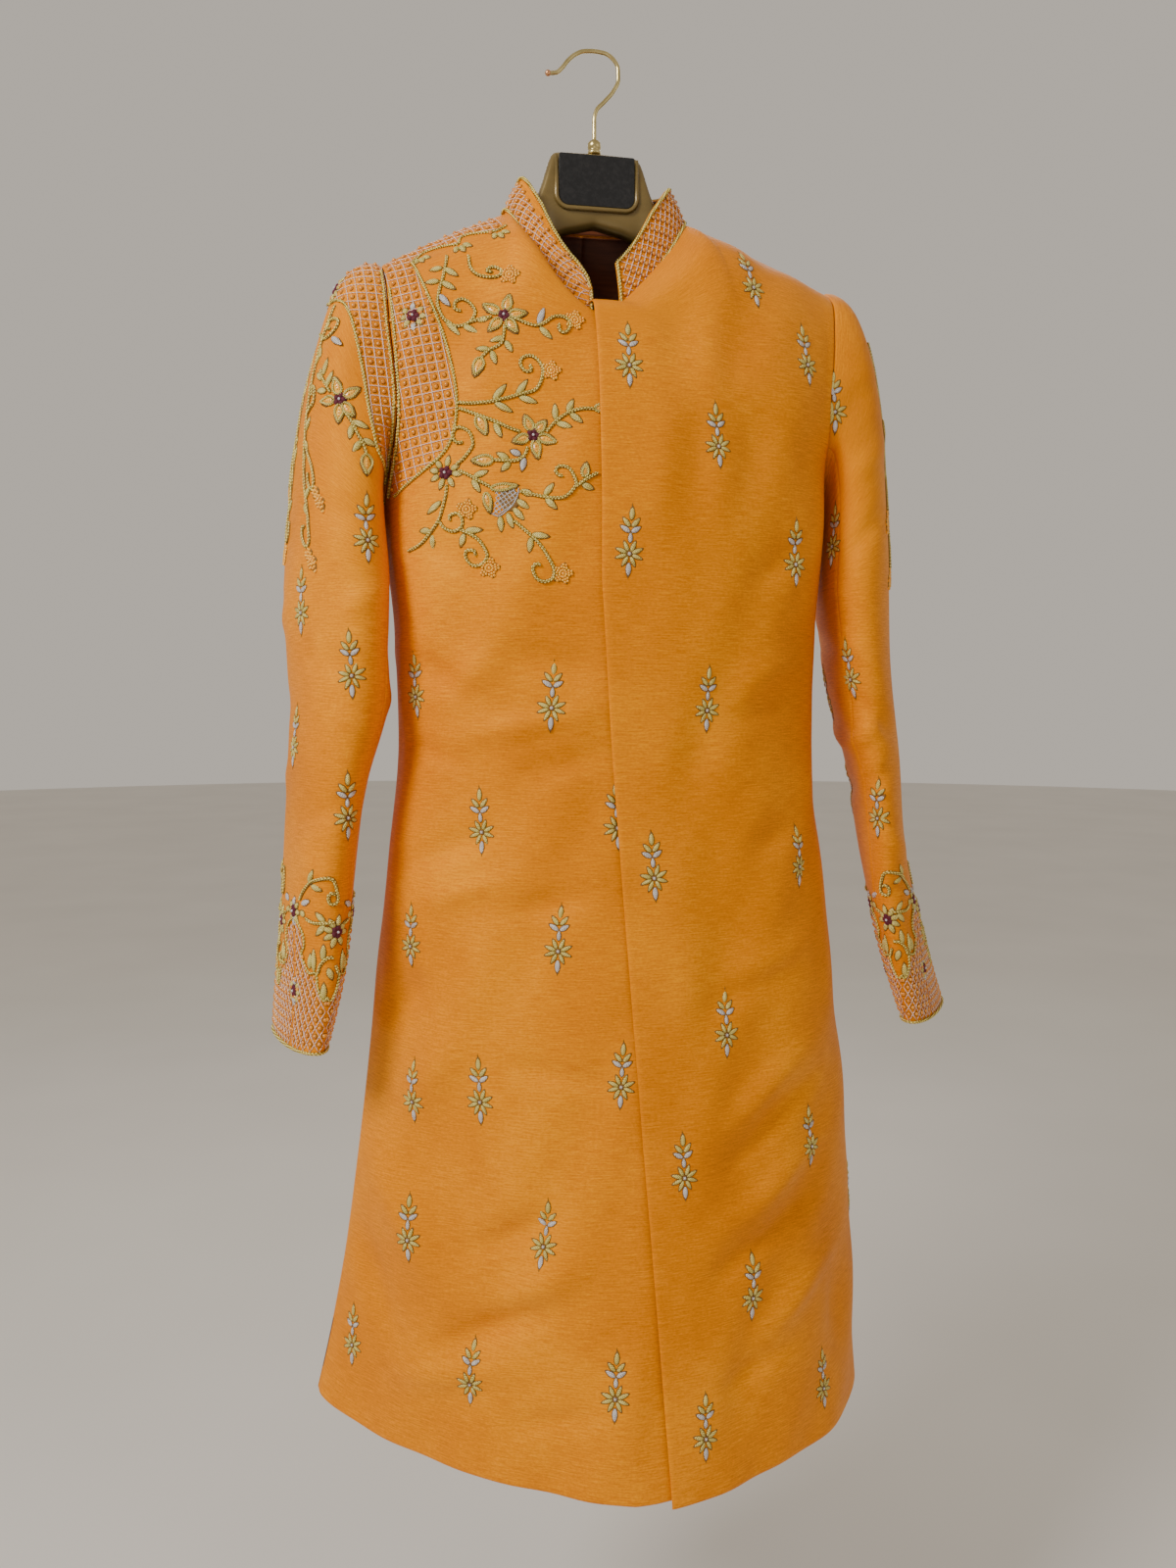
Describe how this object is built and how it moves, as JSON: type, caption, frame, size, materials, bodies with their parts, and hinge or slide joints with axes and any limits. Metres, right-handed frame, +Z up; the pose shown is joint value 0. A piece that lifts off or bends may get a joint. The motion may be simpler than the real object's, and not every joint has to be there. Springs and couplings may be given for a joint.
{
  "type": "sherwani coat on a hanger",
  "caption": "Knee-length orange silk sherwani with a lattice band collar and embroidered sprays, hanging open at the hem on a moulded suit hanger with a wire hook.",
  "frame": {"origin": "the underside of the hook's crown, where it bears on a rail", "axes": "+Z up, the coat's front faces -Y, the wearer's left is +X"},
  "size_m": [0.7008, 0.3168, 1.3209],
  "materials": {
    "silk": "slubbed orange silk with a soft sheen",
    "lattice": "silk under a beaded lattice",
    "lining": "smooth maroon lining",
    "hanger_plastic": "semi-gloss bronze",
    "label": "bare black plate",
    "hanger_brass": "bright drawn wire"
  },
  "bodies": {
    "root": {"front_left": "silk", "front_right": "silk", "back_left": "silk", "back_right": "silk", "sleeve_left_upper": "silk", "sleeve_left_under": "silk", "sleeve_right_upper": "silk", "sleeve_right_under": "silk", "collar": "lattice", "back_lining": "lining", "hanger_body": "hanger_plastic", "hanger_label": "label", "hanger_ferrule": "hanger_brass", "hanger_hook": "hanger_brass"}
  },
  "joints": []
}
